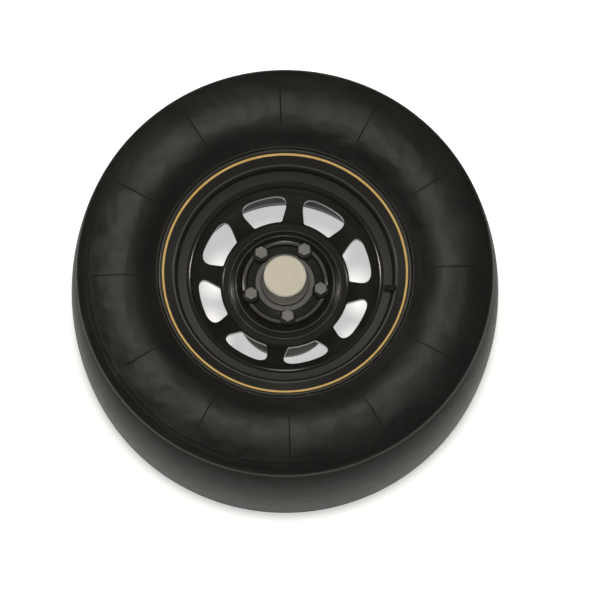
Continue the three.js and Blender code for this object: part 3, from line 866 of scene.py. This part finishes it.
def make_lugs(nut_metal, stud_metal):
    shape = lug_nut_shape()
    thread = []
    height = 56.0
    while height < 76:
        thread += [(STUD_RADIUS - 0.45, height), (STUD_RADIUS, height + 0.5), (STUD_RADIUS - 0.45, height + 1.0)]
        height += 1.25
    stud_corners = [
        (0, 38.4), (9.5, 38.4, 0.8), (10, 42.4, 0.4), (STUD_RADIUS, 42.4), (STUD_RADIUS, 55.4),
        *thread, (5.2, 78.5, 0.5), (0, 78.5),
    ]
    nuts = []
    for i, (x, y) in enumerate(lug_places()):
        move = Matrix.Translation(Vector((x, y, 0)) * MM)
        nut = new_object(f"closed_lug_nut_{i + 1}", shape.data.copy(), 14)
        nut.data.transform(move)
        nuts.append(dress(nut, "wheel", "lug_steel", nut_metal, f"lug_nut_{i + 1}"))
        stud = turned(f"pressed_stud_{i + 1}", stud_corners, False, 48, steps=2)
        stud.data.transform(move)
        dress(stud, "wheel", "dark_steel", stud_metal, f"wheel_stud_{i + 1}")
    bpy.data.objects.remove(shape)
    return nuts


# ------------------------------------------------------------------ hub and cap


def make_hub(material):
    corners = [
        (36.3, 62.4, 0.5), (48.4, 62.4, 0.9), (48.4, 54.7, 0.6), (73, 54.7, 1.2), (73, 42.7, 1.6),
        (50, 42.7, 4), (46, 37.5, 6), (46, -66, 4), (44, -72, 1), (40, -72, 0.6), (40, -62),
        (37.3, -62), (37.3, -39.7), (33, -39.7), (33, -36, 1), (36, -33, 2), (36, 10, 3),
        (27, 18, 1), (27, 21.7), (30.3, 21.7), (30.3, 44), (36.3, 44),
    ]
    obj = turned("wheel_hub", corners, count=192)
    holes = [cylinder("hole", 6.65, 36, 60, place) for place in lug_places()]
    cut(obj, holes)
    bevel(obj, 0.5, 2, 60)
    smooth(obj, 35)
    return dress(obj, "wheel", "cast_hub", material, "hub")


def make_cap(side_metal, face_paint):
    shell = turned("hub_cap", [
        (0, 107.3), (33.6, 107.3, 0.2), (33.6, 108.5, 0.2), (34.5, 108.5, 0.7), (35.3, 106.6, 2),
        (36.5, 87, 30), (38.5, 68, 3), (39.2, 66.3, 0.8), (40.2, 65.6, 0.5), (40.2, 62.7, 0.3),
        (36, 62.7), (36, 50, 0.5), (34, 50, 0.5), (34, 86, 8), (32.6, 104.5, 2), (0, 104.5),
    ], False, 192, steps=4)
    dress(shell, "wheel", "cap_metal", side_metal, "dust_cap")
    face = turned("cap_disc", [
        (0, 107.6), (33.3, 107.6, 0.1), (33.3, 108.4, 0.5), (30.5, 108.8, 6), (0, 108.8),
    ], False, 192, steps=4)
    dress(face, "wheel", "cap_face", face_paint, "cap_face")
    return shell


def make_seal(material):
    corners = [
        (26.3, -67.6, 0.2), (28, -68.1, 0.5), (28, -71.6, 0.6), (39.7, -71.6, 0.8), (39.7, -62.6, 0.3),
        (37.5, -62.6, 0.3), (37.5, -69.6, 0.5), (30, -69.6, 0.8), (28.4, -65.6, 0.5), (26.3, -66.6, 0.2),
    ]
    obj = turned("oil_seal", corners, count=128)
    return dress(obj, "wheel", "seal_rubber", material, "grease_seal")


# ------------------------------------------------------------------ bearings

BEARINGS = {
    "inner": dict(large=(-60, 25.6, 33.8), small=(-40, 22.8, 29.8), bore=20.3, outside=37, rollers=14),
    "outer": dict(large=(38, 20.2, 27), small=(22, 18.2, 24), bore=15.3, outside=30, rollers=12),
}


def make_bearing(side, steel, cage_metal):
    size = BEARINGS[side]
    (lz, lc, lu), (sz, sc, su) = size["large"], size["small"]
    out = 1 if lz > sz else -1
    cup = turned(f"{side}_outer_race", [
        (size["outside"], lz, 0.6), (size["outside"], sz, 0.6), (su, sz, 0.3), (lu, lz, 0.3),
    ], count=128, steps=3)
    dress(cup, "wheel", "bearing_steel", steel, f"{side}_bearing_cup")
    cone = turned(f"{side}_inner_race", [
        (size["bore"], lz + 0.7 * out, 0.3), (lc, lz + 0.7 * out, 0.3), (lc, lz),
        (sc, sz), (sc, sz - 0.7 * out, 0.3), (size["bore"], sz - 0.7 * out, 0.3),
    ], count=128, steps=3)
    dress(cone, "spindle", "bearing_steel", steel, f"{side}_bearing_cone")
    middle_large, middle_small = (lc + lu) / 2, (sc + su) / 2
    start = Vector((middle_small, 0, sz + 1.5 * out))
    end = Vector((middle_large, 0, lz - 1.5 * out))
    along = end - start
    bm = bmesh.new()
    small_radius = (su - sc) / 2 - 0.45
    large_radius = (lu - lc) / 2 - 0.45
    roller = fillet([
        (0, 0), (small_radius, 0, 0.5), (large_radius, along.length, 0.5), (0, along.length),
    ], steps=3)
    stand = Matrix.Translation(start * MM) @ Vector((0, 0, 1)).rotation_difference(along).to_matrix().to_4x4()
    for i in range(size["rollers"]):
        before = set(bm.verts)
        lathe_into(bm, roller, even_angles(24), False)
        fresh = [v for v in bm.verts if v not in before]
        turn = Matrix.Rotation(2 * math.pi * i / size["rollers"], 4, "Z")
        bmesh.ops.transform(bm, matrix=turn @ stand, verts=fresh)
    rollers = finish_bmesh(f"{side}_rollers", bm)
    dress(rollers, f"{side}_rollers", "bearing_steel", steel, f"{side}_roller_set")
    half = 0.7
    cage = turned(f"{side}_cage", [
        (middle_small - half, sz, 0.3), (middle_small + half, sz, 0.3),
        (middle_large + half, lz, 0.3), (middle_large - half, lz, 0.3),
    ], count=128, steps=2)
    dress(cage, f"{side}_rollers", "bearing_steel", cage_metal)


# ------------------------------------------------------------------ spindle


def make_spindle(material):
    corners = [
        (0, -134), (79.5, -134, 0.8), (79.5, -121, 1.8), (44, -121, 5), (34, -115, 8), (30, -103, 8),
        (28, -76, 1), (26, -74, 0.4), (26, -62.5, 0.4), (24, -61), (20, -61), (20, -37, 1),
        (17, -10, 8), (15, 19, 1), (15, 41, 0.5),
    ]
    height = 42.5
    while height < 58:
        corners += [(12.0, height), (12.5, height + 0.6), (12.0, height + 1.2)]
        height += 1.5
    corners += [(11, 60, 0.4), (0, 60)]
    obj = turned("stub_spindle", corners, False, 160, steps=4)
    holes = [cylinder("hole", 6.5, -150, -110, on_circle(62, 60 * i)) for i in range(6)]
    pin_hole = cylinder("pin_hole", 2, -20, 20)
    pin_hole.data.transform(Matrix.Translation((0, 0, 55.5 * MM)) @ Matrix.Rotation(math.pi / 2, 4, "Y"))
    cut(obj, [*holes, pin_hole])
    smooth(obj, 35)
    return dress(obj, "spindle", "spindle_steel", material, "spindle")


def make_spindle_fasteners(steel, dark):
    washer = turned("thrust_washer", [
        (15.7, 39.0, 0.3), (23, 39.0, 0.4), (23, 42.6, 0.5), (15.7, 42.6, 0.3),
    ], count=96, steps=3)
    dress(washer, "spindle", "bearing_steel", steel, "spindle_washer")
    nut = hexagon("bearing_nut", 36.4, 42.9, 52.4, 1.2)
    cut(nut, [cylinder("bore", 12.8, 30, 70)])
    bevel(nut, 0.4, 2, 28)
    smooth(nut, 35)
    dress(nut, "spindle", "dark_steel", dark, "spindle_nut")
    pin = swept("split_pin", [
        (-15.5, 0, 55.5), (0, 0, 55.5), (14.5, 0, 55.5), (17.5, 2.5, 55.5), (18, 8, 55.5),
    ], 1.4)
    head = turned("pin_head", [(0, -17.4), (2.9, -17.4, 0.6), (2.9, -15.1, 0.6), (0, -15.1)], False, 48)
    head.data.transform(Matrix.Translation((0, 0, 55.5 * MM)) @ Matrix.Rotation(math.pi / 2, 4, "Y"))
    joined = smooth(join("split_pin", [pin, head]), 40)
    dress(joined, "spindle", "bearing_steel", steel, "cotter_pin")


def swept(name, path, radius):
    """A round wire along a smooth curve, as a closed mesh."""
    data = bpy.data.curves.new(name, "CURVE")
    data.dimensions = "3D"
    data.bevel_depth = radius * MM
    data.bevel_resolution = 4
    data.use_fill_caps = True
    spline = data.splines.new("BEZIER")
    spline.bezier_points.add(len(path) - 1)
    for point, place in zip(spline.bezier_points, path):
        point.co = Vector(place) * MM
        point.handle_left_type = point.handle_right_type = "AUTO"
    curve = bpy.data.objects.new(name, data)
    bpy.context.scene.collection.objects.link(curve)
    graph = bpy.context.evaluated_depsgraph_get()
    mesh = bpy.data.meshes.new_from_object(curve.evaluated_get(graph))
    bpy.data.objects.remove(curve)
    bm = bmesh.new()
    bm.from_mesh(mesh)
    return finish_bmesh(name, bm, 40)


# ------------------------------------------------------------------ valve


def at_elbow():
    """Stands a shape made along Z on the valve's elbow, along its straight part."""
    about = Matrix.Rotation(math.radians(VALVE_ANGLE), 4, "Z")
    lean = Matrix.Rotation(-math.radians(90 - VALVE_LEAN), 4, "Y")
    elbow = Matrix.Translation(Vector((VALVE_ELBOW[0], 0, VALVE_ELBOW[1])) * MM)
    return about @ elbow @ lean


def valve_upright(name, radius, bottom, top):
    return cylinder(name, radius, bottom, top, on_circle(VALVE_ELBOW[0], VALVE_ANGLE), 48)


def make_valve(rubber_black, plastic_black, brass):
    lean = at_elbow()
    x, y = on_circle(VALVE_ELBOW[0], VALVE_ANGLE)
    roof = VALVE_POCKET_ROOF - 0.3
    upright = turned("plug", [
        (0, roof - 4.6), (6.6, roof - 4.6, 1), (8.2, roof - 2.4, 1), (8.2, roof, 0.4),
        (VALVE_BODY_RADIUS, roof, 0.3), (VALVE_BODY_RADIUS, VALVE_ELBOW[1] + 5.6, 5.55), (0, VALVE_ELBOW[1] + 5.6),
    ], False, 64, steps=10)
    upright.data.transform(Matrix.Translation(Vector((x, y, 0)) * MM))
    straight = turned("straight", [
        (0, -5.4), (3.4, -4.2, 1.5), (VALVE_BODY_RADIUS - 0.02, -0.4, 1.5), (VALVE_BODY_RADIUS - 0.02, VALVE_BODY_LENGTH - 0.6, 0.3),
        (VALVE_BODY_RADIUS - 0.6, VALVE_BODY_LENGTH, 0.3), (0, VALVE_BODY_LENGTH),
    ], False, 64, steps=3)
    straight.data.transform(lean)
    stem = join("valve_rubber_elbow", [upright, straight])
    socket = cylinder("socket", 4.1, -1, VALVE_BODY_LENGTH + 3)
    socket.data.transform(lean)
    cut(stem, [socket, valve_upright("airway", 2, roof - 8, VALVE_ELBOW[1])])
    smooth(stem, 35)
    dress(stem, "wheel", "valve_rubber", rubber_black, "valve_stem")
    thread = []
    along = VALVE_BODY_LENGTH + 0.6
    while along < VALVE_TIP - 1.2:
        thread += [(3.5, along), (3.8, along + 0.35), (3.5, along + 0.7)]
        along += 0.85
    tube = turned("valve_barrel", [
        (2, 0.8, 0.2), (3.8, 0.8, 0.3), (3.8, VALVE_BODY_LENGTH + 0.4), *thread,
        (3.1, VALVE_TIP, 0.2), (2, VALVE_TIP, 0.2),
    ], count=64, steps=2)
    tube.data.transform(lean)
    dress(tube, "wheel", "brass", brass, "valve_tube")
    pin = turned("valve_core_pin", [
        (0, 1.5), (1.5, 1.5, 0.3), (1.5, 3.5, 0.3), (0.9, 4.5), (0.9, VALVE_TIP - 0.6, 0.3),
        (0, VALVE_TIP - 0.6),
    ], False, 32, steps=2)
    pin.data.transform(lean)
    dress(pin, "valve_pin", "brass", brass, "valve_pin")
    top = VALVE_TIP + 2.4
    cap = turned("valve_dust_cap", [
        (0, VALVE_TIP + 0.3), (4.1, VALVE_TIP + 0.3, 0.3), (4.1, VALVE_BODY_LENGTH + 0.3, 0.2),
        (5.2, VALVE_BODY_LENGTH + 0.3, 0.3), (5.6, VALVE_BODY_LENGTH + 1, 0.3),
        (5.6, VALVE_BODY_LENGTH + 1.5), (5.6, top - 1.1), (5.6, top, 0.6), (0, top),
    ], False, 96, steps=3)
    knurl(cap, VALVE_BODY_LENGTH + 1.4, top - 1.0)
    cap.data.transform(lean)
    dress(cap, "valve_cap", "valve_plastic", plastic_black, "valve_cap")


def knurl(cap, low, high, ribs=16, depth=0.25):
    """Presses grip flutes into the side of the valve cap, which still stands along Z."""
    for vertex in cap.data.vertices:
        reach = math.hypot(vertex.co.x, vertex.co.y)
        if reach < 5.5 * MM or not low * MM < vertex.co.z < high * MM:
            continue
        flute = max(0.0, math.cos(math.atan2(vertex.co.y, vertex.co.x) * ribs))
        factor = 1 - depth * MM * flute / reach
        vertex.co.x *= factor
        vertex.co.y *= factor


# ------------------------------------------------------------------ stage


def make_floor():
    low = cad_box[0][2]
    mesh = bpy.data.meshes.new("floor")
    reach = 6.0
    corners = [(-reach, -reach), (reach, -reach), (reach, reach), (-reach, reach)]
    mesh.from_pydata([(x, y, low - 0.0005) for x, y in corners], [], [(0, 1, 2, 3)])
    floor = bpy.data.objects.new("floor", mesh)
    bpy.context.scene.collection.objects.link(floor)
    s = Shader("floor_white", (0.8, 0.8, 0.8), 0.9, Specular_IOR_Level=0.0)
    s.set("Emission Color", (1, 1, 1, 1))
    s.set("Emission Strength", FLOOR_GLOW)
    mesh.materials.append(s.material)


FLOOR_GLOW = 0.55

# Brightness of the sky by the sine of the elevation, from the horizon to the zenith.
SKY = ((0.0, 0.9), (0.12, 0.8), (0.3, 0.25), (0.5, 0.12), (0.8, 0.12), (1.0, 0.16))
OVERHEAD_STRENGTH = 2.3
OVERHEAD_ANGLE = 11
KEY_STRENGTH = 1.05
KEY_ANGLE = 14
KEY_LEAN = (14, 5)

# Strip lamps for the edges of the wheel, as leans towards +Y and -X.
STRIP_ANGLE = 11
STRIPS = ((0.6, (8, 46)), (0.5, (8, -46)), (0.2, (56, 0)))
FILL_STRENGTH = 1.0
FILL_LEAN = (-13.5, 0)
LIGHT_TINT = (1.0, 0.965, 0.88)


def make_sky():
    world = bpy.data.worlds.new("studio")
    bpy.context.scene.world = world
    world.use_nodes = True
    tree = world.node_tree
    place = tree.nodes.new("ShaderNodeTexCoord")
    split = tree.nodes.new("ShaderNodeSeparateXYZ")
    ramp = tree.nodes.new("ShaderNodeValToRGB")
    tree.links.new(place.outputs["Generated"], split.inputs[0])
    tree.links.new(split.outputs["Z"], ramp.inputs[0])
    tree.links.new(ramp.outputs[0], tree.nodes["Background"].inputs["Color"])
    elements = ramp.color_ramp.elements
    while len(elements) < len(SKY):
        elements.new(0.5)
    for element, (place, shade) in zip(elements, SKY):
        element.position = place
        element.color = (*(shade * tint for tint in LIGHT_TINT), 1)


def sun(name, strength, angle, north=0, west=0):
    """A distant lamp overhead, leaning by degrees towards +Y and -X."""
    lamp = bpy.data.lights.new(name, "SUN")
    lamp.energy = strength
    lamp.color = LIGHT_TINT
    lamp.angle = math.radians(angle)
    obj = bpy.data.objects.new(name, lamp)
    obj.rotation_euler = (-math.radians(north), -math.radians(west), 0)
    bpy.context.scene.collection.objects.link(obj)
    return obj


def linked_sun(name, strength, angle, lean, receivers):
    """A distant lamp that lights only the pieces it is given."""
    lamp = sun(name, strength, angle, *lean)
    linked = bpy.data.collections.new(name + "_receivers")
    for piece in receivers:
        linked.objects.link(piece)
    lamp.light_linking.receiver_collection = linked
    return lamp


def make_light(tyre, wheel, shaded):
    """A lamp overhead for shade, one lamp for the sheen along the tyre, strips for the edges
    of the wheel, and a fill for the pieces that stand in its shade."""
    make_sky()
    sun("overhead", OVERHEAD_STRENGTH, OVERHEAD_ANGLE).visible_glossy = False
    linked_sun("key", KEY_STRENGTH, KEY_ANGLE, KEY_LEAN, [tyre]).visible_diffuse = False
    for i, (strength, lean) in enumerate(STRIPS):
        linked_sun(f"strip_{i}", strength, STRIP_ANGLE, lean, wheel).visible_diffuse = False
    linked_sun("fill", FILL_STRENGTH, STRIP_ANGLE, FILL_LEAN, shaded)
    bpy.context.scene.view_settings.view_transform = "Standard"


def make_camera():
    lens = bpy.data.cameras.new("camera")
    lens.type = "ORTHO"
    lens.ortho_scale = VIEW_WIDTH
    camera = bpy.data.objects.new("camera", lens)
    bpy.context.scene.collection.objects.link(camera)
    lift = math.radians(CAMERA_ELEVATION)
    toward = Vector((0, -math.cos(lift), math.sin(lift)))
    up = Vector((0, math.sin(lift), math.cos(lift)))
    target = Vector((1, 0, 0)) * VIEW_RIGHT + up * VIEW_UP
    camera.location = target + toward * 3
    camera.rotation_euler = (math.radians(90 - CAMERA_ELEVATION), 0, 0)
    bpy.context.scene.camera = camera


# ------------------------------------------------------------------ the scene

make_camera()
make_floor()

black_paint = gloss_black()
hoop_paint = rim_paint()
steel = metal("ground_steel", (0.5, 0.5, 0.49), 0.22, 0.36, spun=0.000004)
dark_steel = metal("oiled_steel", (0.10, 0.10, 0.095), 0.35, 0.5)
# The lug nuts and the cap get painted shade at their feet, below the heights given.
lug_metal = satin("lug_plating", (0.25, 0.25, 0.24), 0.35, 0.5, shaded_below=0.070)
cap_metal = satin("cap_metal", (0.5, 0.49, 0.46), 0.35, 0.5, shaded_below=0.067)
spindle_metal = satin("forged_steel", (0.16, 0.16, 0.15), 0.42, 0.58)
brass = metal("valve_brass", (0.5, 0.37, 0.16), 0.3, 0.42)
cage_metal = metal("cage_steel", (0.32, 0.32, 0.31), 0.34, 0.46)

tyre = make_tyre(rubber())
wheel = [make_rim(hoop_paint), make_disc(black_paint)]
make_weld(black_paint)
wheel += make_lugs(lug_metal, dark_steel)
wheel.append(make_hub(cast()))
cap = make_cap(cap_metal, beige())
make_stripe(gold())
make_seal(seal_brown())
for side in BEARINGS:
    make_bearing(side, steel, cage_metal)
make_light(tyre, [*wheel, cap], [make_spindle(spindle_metal), cap])
make_spindle_fasteners(steel, dark_steel)
make_valve(soft_black("valve_rubber_black"), soft_black("valve_plastic_black", 0.3, 0.42), brass)
